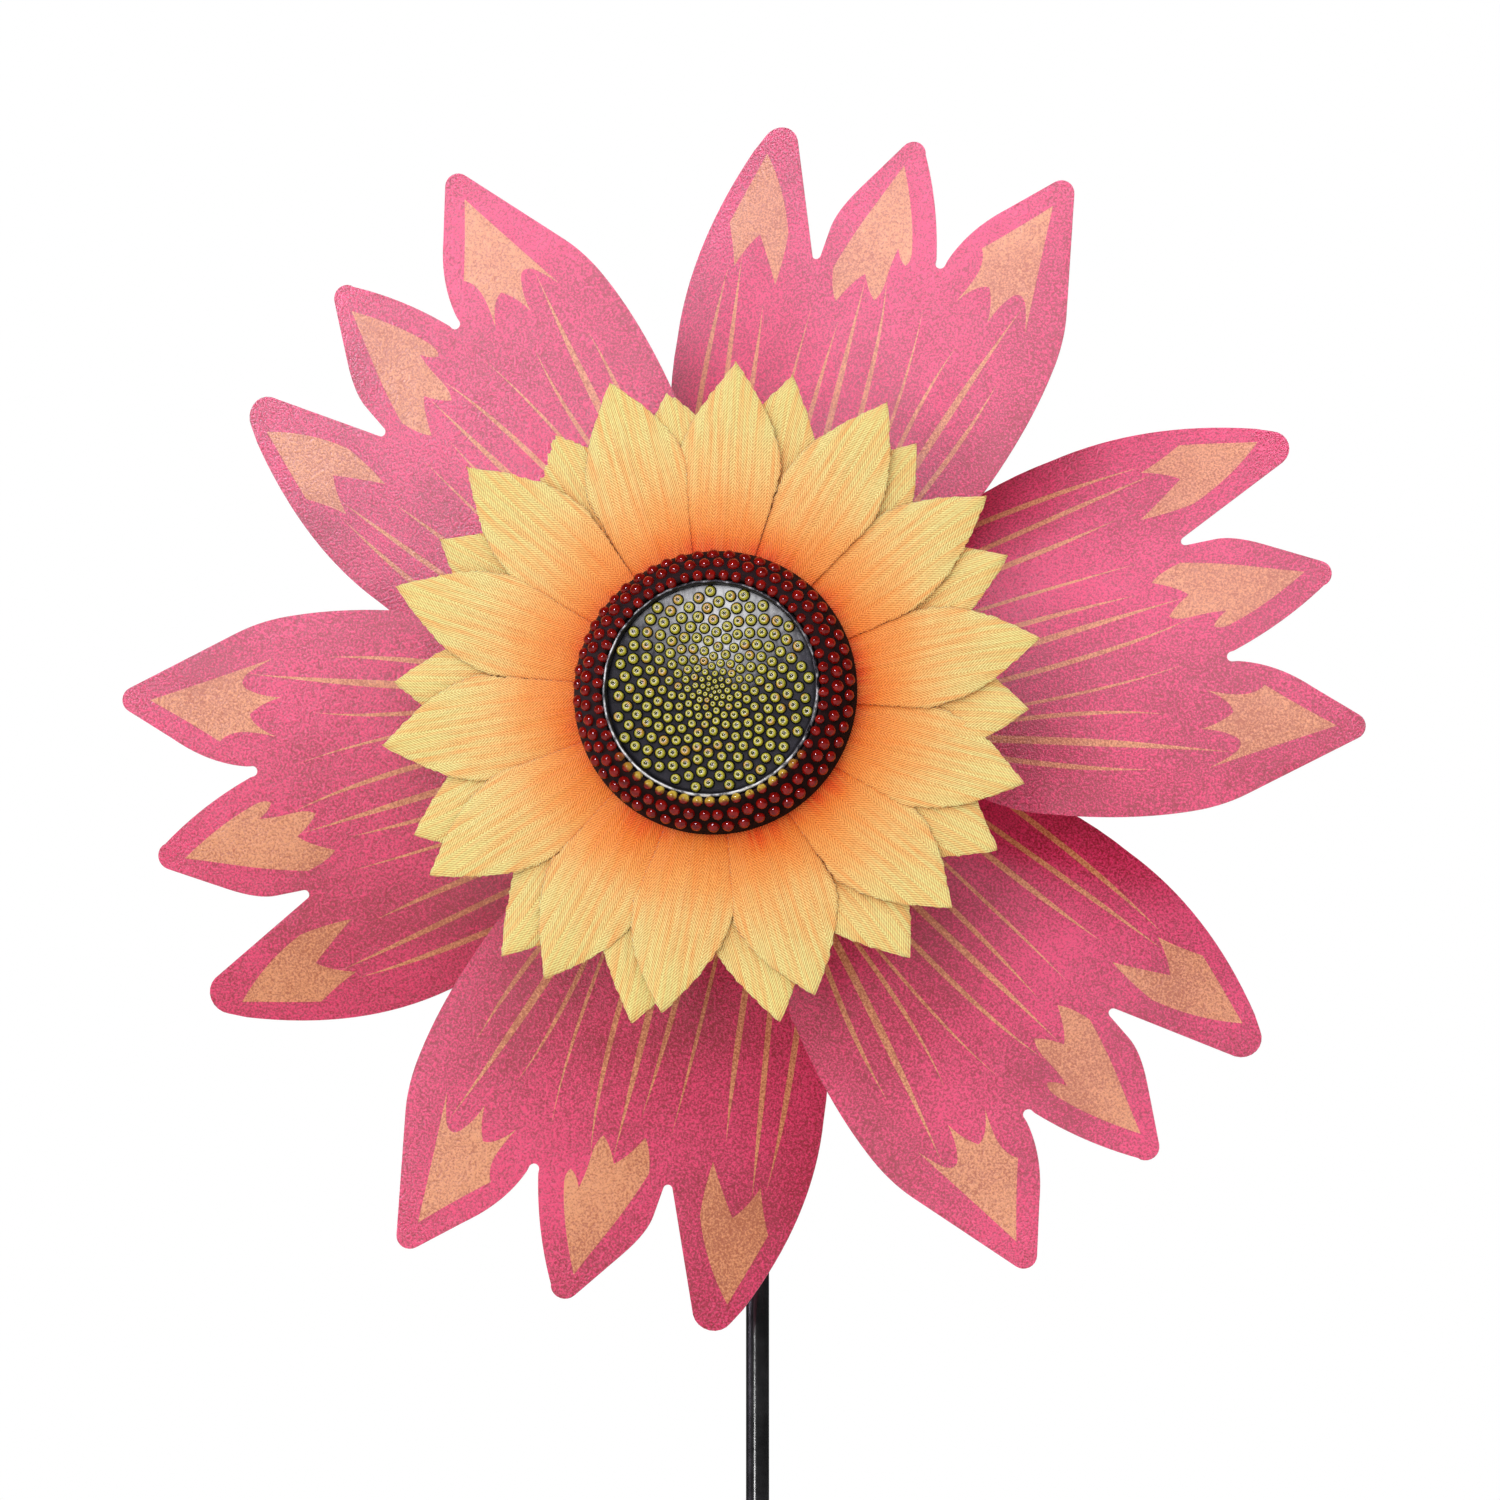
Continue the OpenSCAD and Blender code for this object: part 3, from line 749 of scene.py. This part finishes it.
front_plane = -front_petal_box[0].y / MM - 1.0
back_plane = -back_petal_box[0].y / MM - 1.0
first_back = FIRST_PETAL + 180 / PETALS
front_cloth = petal_layer(
    "front_petals_cloth", "front_petals", front_plane, FIRST_PETAL, FRONT_PUSH, FRONT_TIPS, {}, 3)
back_cloth = petal_layer(
    "back_petals_cloth", "back_petals", back_plane, first_back, BACK_PUSH, BACK_TIPS, TORN, 8)


# ---- Seed head ----
def lathe(profile, segments):
    """A small round shape about the forward axis, closed at the top: points (x, forward, z), faces."""
    verts, faces = [], []
    for r, h in profile:
        for k in range(segments):
            a = 2 * math.pi * k / segments
            verts.append((r * math.cos(a), h, r * math.sin(a)))
    for i in range(len(profile) - 1):
        for k in range(segments):
            a, b, up = i * segments + k, i * segments + (k + 1) % segments, segments
            faces.append((a, b, b + up, a + up))
    faces.append(tuple((len(profile) - 1) * segments + k for k in range(segments)))
    return verts, faces


def stand(shape, at, out, size):
    """The shape at a place (x, forward, z), with its own forward axis along out, scaled by size."""
    turn = Vector((0, 1, 0)).rotation_difference(Vector(out)).to_matrix()
    return [Vector(at) + turn @ (Vector(v) * size) for v in shape]


RING_INNER = dish_radius + 1.6  # where the ring meets the rim
SEED_T = seed_front - seed_back


def ring_section(t):
    """A place on the berry ring's face and the direction out of it, t from the rim to its edge."""
    crest = (RING_INNER + 0.5, SEED_T - 1.3)
    pull = (seed_radius - 3, SEED_T - 2.9)
    edge = (seed_radius - 0.3, 2.5)
    weights = ((1 - t) ** 2, 2 * t * (1 - t), t * t)
    r, lift = (sum(w * p[k] for w, p in zip(weights, (crest, pull, edge))) for k in (0, 1))
    dr, dl = (2 * (1 - t) * (pull[k] - crest[k]) + 2 * t * (edge[k] - pull[k]) for k in (0, 1))
    length = math.hypot(dr, dl)
    return r, seed_back + lift, -dl / length, dr / length


def turned(name, section, rounds, material, node, wave=None):
    """A ring turned about the axle from a closed section of (radius, forward) points.

    wave(angle, forward) gives how far each point moves out and forward.
    """
    verts = []
    for r, forward in section:
        for k in range(rounds):
            a = 2 * math.pi * k / rounds
            dr, df = wave(a, forward) if wave else (0, 0)
            verts.append(mm((r + dr) * math.sin(a), forward + df, (r + dr) * math.cos(a)))
    n = len(section)
    faces = []
    for i in range(n):
        for k in range(rounds):
            m, j = (k + 1) % rounds, (i + 1) % n
            faces.append((i * rounds + k, i * rounds + m, j * rounds + m, j * rounds + k))
    ob = new_piece(name, verts, faces, [material])
    tidy_normals(ob)
    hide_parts(node)


def make_berry_ring():
    """The dark ring that the berries stand on."""
    face = [ring_section(i / 18)[:2] for i in range(19)]
    inner = [(RING_INNER, seed_back + 2.6), (RING_INNER, face[0][1] - 0.8)]
    outer = [
        (seed_radius - 0.9, seed_back + 0.9),
        (seed_radius - 2.5, seed_back + 0.1),
        (seed_radius - 3.9, seed_back + 0.1),
    ]
    turned("berry_ring_base", inner + face + outer, 144, brown_and_gap_shade, "berry_ring")


# Rows of berries: place across the ring, from the rim to its edge, and the beads' radius
BERRY_ROWS = [(0.05, 1.5), (0.37, 1.85), (0.70, 1.85)]
BERRIES_IN_ROW = 54


def make_berries():
    """Rows of round beads on the ring, each row half a bead round from the last."""
    rng = random.Random(11)
    bead_profile = [(1.0, -0.6), (0.98, 0.05), (0.9, 0.38), (0.66, 0.66), (0.34, 0.82), (0.1, 0.86)]
    bead, bead_faces = lathe(bead_profile, 16)
    verts, faces = [], []
    for row, (t, size) in enumerate(BERRY_ROWS):
        for k in range(BERRIES_IN_ROW):
            a = 2 * math.pi * (k + 0.5 * (row % 2) + rng.uniform(-0.06, 0.06)) / BERRIES_IN_ROW
            r, forward, out_r, out_f = ring_section(t + rng.uniform(-0.012, 0.012))
            direction = (out_r * math.sin(a), out_f, out_r * math.cos(a))
            place = (r * math.sin(a), forward, r * math.cos(a))
            made = stand(bead, place, direction, size * rng.uniform(0.92, 1.06))
            faces += [tuple(v + len(verts) for v in f) for f in bead_faces]
            verts += [mm(p.x, p.y, p.z) for p in made]
    ob = new_piece("berries", verts, faces, [berry])
    tidy_normals(ob)
    return ob


DISH_SINK = 2.6  # how far the dish's middle lies behind the front of the space it has
DISH_HOLLOW = 1.5  # how much further forward its edge is than its middle


def dish_lift(r):
    """How far forward the dish's face is at a distance from its middle."""
    return dish_front - DISH_SINK + DISH_HOLLOW * (r / dish_radius) ** 2


def make_dish():
    """The dish that the buttons stand on, a little hollow."""
    verts, faces = [], []
    rounds = 120
    radii = [dish_radius * (i / 24) for i in range(24, 0, -1)]
    rows = [(dish_radius - 0.1, seed_back + 2.7)] + [(r - 0.1, dish_lift(r)) for r in radii]
    for r, forward in rows:
        for k in range(rounds):
            a = 2 * math.pi * k / rounds
            verts.append(mm(r * math.sin(a), forward, r * math.cos(a)))
    for i in range(len(rows) - 1):
        for k in range(rounds):
            a, b = i * rounds + k, i * rounds + (k + 1) % rounds
            faces.append((a, b, b + rounds, a + rounds))
    faces.append(tuple((len(rows) - 1) * rounds + k for k in range(rounds)))
    faces.append(tuple(range(rounds)))
    ob = new_piece("dish_face", verts, faces, [dish_paint_and_highlight])
    tidy_normals(ob)
    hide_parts("seed_dish")


BUTTON_EDGE = 1.7  # the outermost buttons' distance in from the rim
EVENING_ROUNDS = 24
EVENING_STEP = 0.2  # how much of the missing distance each of two near buttons moves at a time


def button_gap(r):
    """Distance between neighbouring buttons, wider towards the rim."""
    return 1.2 + 3.0 * (1 - math.exp(-r / 9))


def push_apart(places):
    """Moves any two places that are too near away from each other, but not past the dish's edge."""
    for i, p in enumerate(places):
        for q in places[i + 1:]:
            gap = math.dist(p, q)
            short = button_gap(math.hypot(*p)) - gap
            if short > 0:
                for k in (0, 1):
                    push = EVENING_STEP * short * (p[k] - q[k]) / gap
                    p[k] += push
                    q[k] -= push
    for p in places:
        over = math.hypot(*p) / (dish_radius - BUTTON_EDGE)
        if over > 1:
            p[0], p[1] = p[0] / over, p[1] / over


def button_places():
    """Places in a sunflower's spiral on the dish, evened out."""
    golden = math.pi * (3 - math.sqrt(5))
    places = []
    r = 0.45
    while r < dish_radius - BUTTON_EDGE:
        a = golden * len(places)
        places.append([r * math.sin(a), r * math.cos(a)])
        r += 0.85 * button_gap(r) ** 2 / (2 * math.pi * r)
    for _ in range(EVENING_ROUNDS):
        push_apart(places)
    return places


def make_buttons():
    """Round buttons, larger towards the rim, each with a dimpled top and a near-black skirt at its foot,
    painted shade where the buttons shade the dish.
    """
    rng = random.Random(5)
    # A near-black skirt at the foot: painted shade round the button.
    groove_part = [(1.3, -0.3), (1.27, 0.26), (1.05, 0.3)]
    cap_part = [(1.0, 0.2), (1.0, 0.7), (0.94, 0.95), (0.78, 1.1)]
    cap_part += [(0.55, 1.14), (0.42, 1.02), (0.3, 1.06), (0.14, 1.16)]
    segments = 16
    shape, shape_faces = lathe(groove_part + cap_part, segments)
    groove_end = len(groove_part) * segments
    side_end = groove_end + 5 * segments  # five bands of faces lie outside the dimple's floor
    kinds = [0 if i < groove_end else 1 if i < side_end else 2 for i in range(len(shape_faces))]
    verts, faces, indices = [], [], []
    for x, z in button_places():
        r = math.hypot(x, z)
        size = 0.35 * button_gap(r) * rng.uniform(0.95, 1.05)
        made = stand(shape, (x, dish_lift(r), z), (0, 1, 0), size)
        faces += [tuple(v + len(verts) for v in f) for f in shape_faces]
        verts += [mm(p.x, p.y, p.z) for p in made]
        indices += kinds
    ob = new_piece("dish_buttons", verts, faces, [foot_shade, button, button_top], indices)
    tidy_normals(ob)
    return ob


def rim_wave(a, forward):
    """How the rim's crest wanders: out from the axle and forward."""
    low = forward < seed_back + SEED_T - 2
    return 0.1 * math.sin(31 * a), 0 if low else 0.18 * math.sin(23 * a) + 0.12 * math.sin(41 * a + 1)


def make_rim():
    """The thin ridge, a little uneven along its crest, coloured with silver patches and a painted
    highlight along its crest.
    """
    crest = seed_back + SEED_T - 0.9
    foot = seed_back + 2.7
    ridge = [(0.22, 0.7), (0.42, 0.2), (0.62, 0.1), (0.85, 0.5), (1.2, 1.1), (1.4, 1.4)]
    section = [(dish_radius, foot), (dish_radius, crest - 1.6)]
    section += [(dish_radius + out, crest - down) for out, down in ridge]
    section.append((dish_radius + 1.5, foot))
    turned("rim_ridge", section, 240, rim_silver_and_highlight, "rim_ring", rim_wave)


def tidy_normals(ob):
    """Turns all faces outwards."""
    bm = bmesh.new()
    bm.from_mesh(ob.data)
    bmesh.ops.recalc_face_normals(bm, faces=bm.faces)
    bm.to_mesh(ob.data)
    bm.free()


make_berry_ring()
berries = make_berries()
make_dish()
dish_buttons = make_buttons()
make_rim()


# ---- Stage, light and camera ----
FLOOR_REACH = 15  # metres from the pole to the floor's edges
FLOOR_DROP = 0.002  # metres that the floor lies below the pole's tip


def make_floor():
    """A wide pale floor just under the pole's tip."""
    mesh = bpy.data.meshes.new("floor")
    corners = ((-1, -1), (1, -1), (1, 1), (-1, 1))
    low = cad_box[0].z - FLOOR_DROP
    mesh.from_pydata([(x * FLOOR_REACH, y * FLOOR_REACH, low) for x, y in corners], [], [(0, 1, 2, 3)])
    m = Nodes("pale floor")
    colour = m.ramp(m.noise(3, 3), (0.3, (0.80,) * 3), (0.7, (0.84,) * 3))
    m.set(Base_Color=colour, Roughness=0.9)
    mesh.materials.append(m.mat)
    ob = bpy.data.objects.new("floor", mesh)
    bpy.context.scene.collection.objects.link(ob)


def area_light(name, place, aim, size, power):
    """A lamp panel that no camera sees."""
    data = bpy.data.lights.new(name, "AREA")
    data.shape = "RECTANGLE"
    data.size, data.size_y = size
    data.energy = power
    ob = bpy.data.objects.new(name, data)
    bpy.context.scene.collection.objects.link(ob)
    ob.location = place
    ob.rotation_euler = (Vector(aim) - Vector(place)).to_track_quat("-Z", "Y").to_euler()
    ob.visible_camera = False
    return ob


def light_group(name, state):
    """The seed head's beads and buttons, as a group that a light leaves out or reaches alone."""
    group = bpy.data.collections.new(name)
    for ob in (berries, dish_buttons):
        group.objects.link(ob)
    for member in group.collection_objects:
        member.light_linking.link_state = state
    return group


def gloss_card(azimuth, elevation, distance, size, power, reach):
    """A cool light that only shines back from gloss, at an azimuth and elevation from the hub."""
    a, e = math.radians(azimuth), math.radians(elevation)
    toward = Vector((math.sin(a) * math.cos(e), -math.cos(a) * math.cos(e), math.sin(e)))
    card = area_light(f"gloss_{azimuth}_{elevation}", HUB + distance * toward, HUB, (size, size), power)
    card.visible_diffuse = False
    card.data.color = CARD_TINT
    card.light_linking.receiver_collection = reach


def make_world(seen, even, mirrored):
    """A white surround with a strength for the camera, one for soft light and one for reflections."""
    world = bpy.data.worlds.new("studio")
    bpy.context.scene.world = world
    world.use_nodes = True
    tree = world.node_tree
    sky = tree.nodes["Background"]
    sky.inputs[0].default_value = (1, 1, 1, 1)
    ray = tree.nodes.new("ShaderNodeLightPath")
    power = even
    for output, strength in (("Is Glossy Ray", mirrored), ("Is Camera Ray", seen)):
        mix = tree.nodes.new("ShaderNodeMix")
        if isinstance(power, bpy.types.NodeSocket):
            tree.links.new(power, mix.inputs["A"])
        else:
            mix.inputs["A"].default_value = power
        mix.inputs["B"].default_value = strength
        tree.links.new(ray.outputs[output], mix.inputs["Factor"])
        power = mix.outputs["Result"]
    tree.links.new(power, sky.inputs["Strength"])


def make_camera(azimuth, elevation, distance, seen_width, aim):
    """A camera that sees seen_width metres across at the blades; aim moves the view right and up."""
    a, e = math.radians(azimuth), math.radians(elevation)
    back = Vector((math.sin(a) * math.cos(e), -math.cos(a) * math.cos(e), math.sin(e)))
    data = bpy.data.cameras.new("camera")
    data.lens = data.sensor_width * distance / seen_width
    data.clip_end = 60
    ob = bpy.data.objects.new("camera", data)
    bpy.context.scene.collection.objects.link(ob)
    ob.rotation_mode = "QUATERNION"
    ob.rotation_quaternion = (-back).to_track_quat("-Z", "Y")
    turn = ob.rotation_quaternion.to_matrix()
    target = mm(0, blade_plane, 0) + turn @ Vector((aim[0], aim[1], 0))
    ob.location = target + back * distance
    bpy.context.scene.camera = ob


# Soft lights: name, place, size and power
SOFT_LIGHTS = [("key", (-0.8, -1.5, 1.75), 1.0, 3), ("front", (-0.4, -2.6, 0.8), 1.4, 19)]
CARD_TINT = (0.87, 0.77, 1.0)
# Gloss cards for the blades: azimuth, elevation, distance, size and power
CARDS = [
    (-80, 10, 1.2, 0.42, 24),
    (44, 24, 1.2, 0.42, 5),
    (5, 64, 1.2, 0.42, 7),
    (-25, 35, 0.5, 0.3, 1.6),
    (-50, 20, 0.5, 0.3, 1.6),
    (20, 40, 0.5, 0.3, 2.5),
]
BEAD_CARD = (-8, 14, 1.2, 0.3, 22)
POLE_STRIP = ((-0.42, -1.1, 0.3), Vector((0, 0, 0.3)), (0.16, 0.3), 6)

make_floor()
for name, place, size, power in SOFT_LIGHTS:
    area_light(name, place, HUB, (size, size), power).visible_glossy = False
sheet_gloss = light_group("sheet gloss", "EXCLUDE")
bead_gloss = light_group("bead gloss", "INCLUDE")
for card in CARDS:
    gloss_card(*card, sheet_gloss)
gloss_card(*BEAD_CARD, bead_gloss)
strip = area_light("pole strip", *POLE_STRIP)
strip.visible_diffuse = False
strip.light_linking.receiver_collection = sheet_gloss
make_world(seen=1.0, even=0.88, mirrored=0.05)
make_camera(azimuth=8, elevation=-7.5, distance=2.2, seen_width=0.4524, aim=(0.0030, -0.0102))
bpy.context.scene.view_settings.view_transform = "Standard"
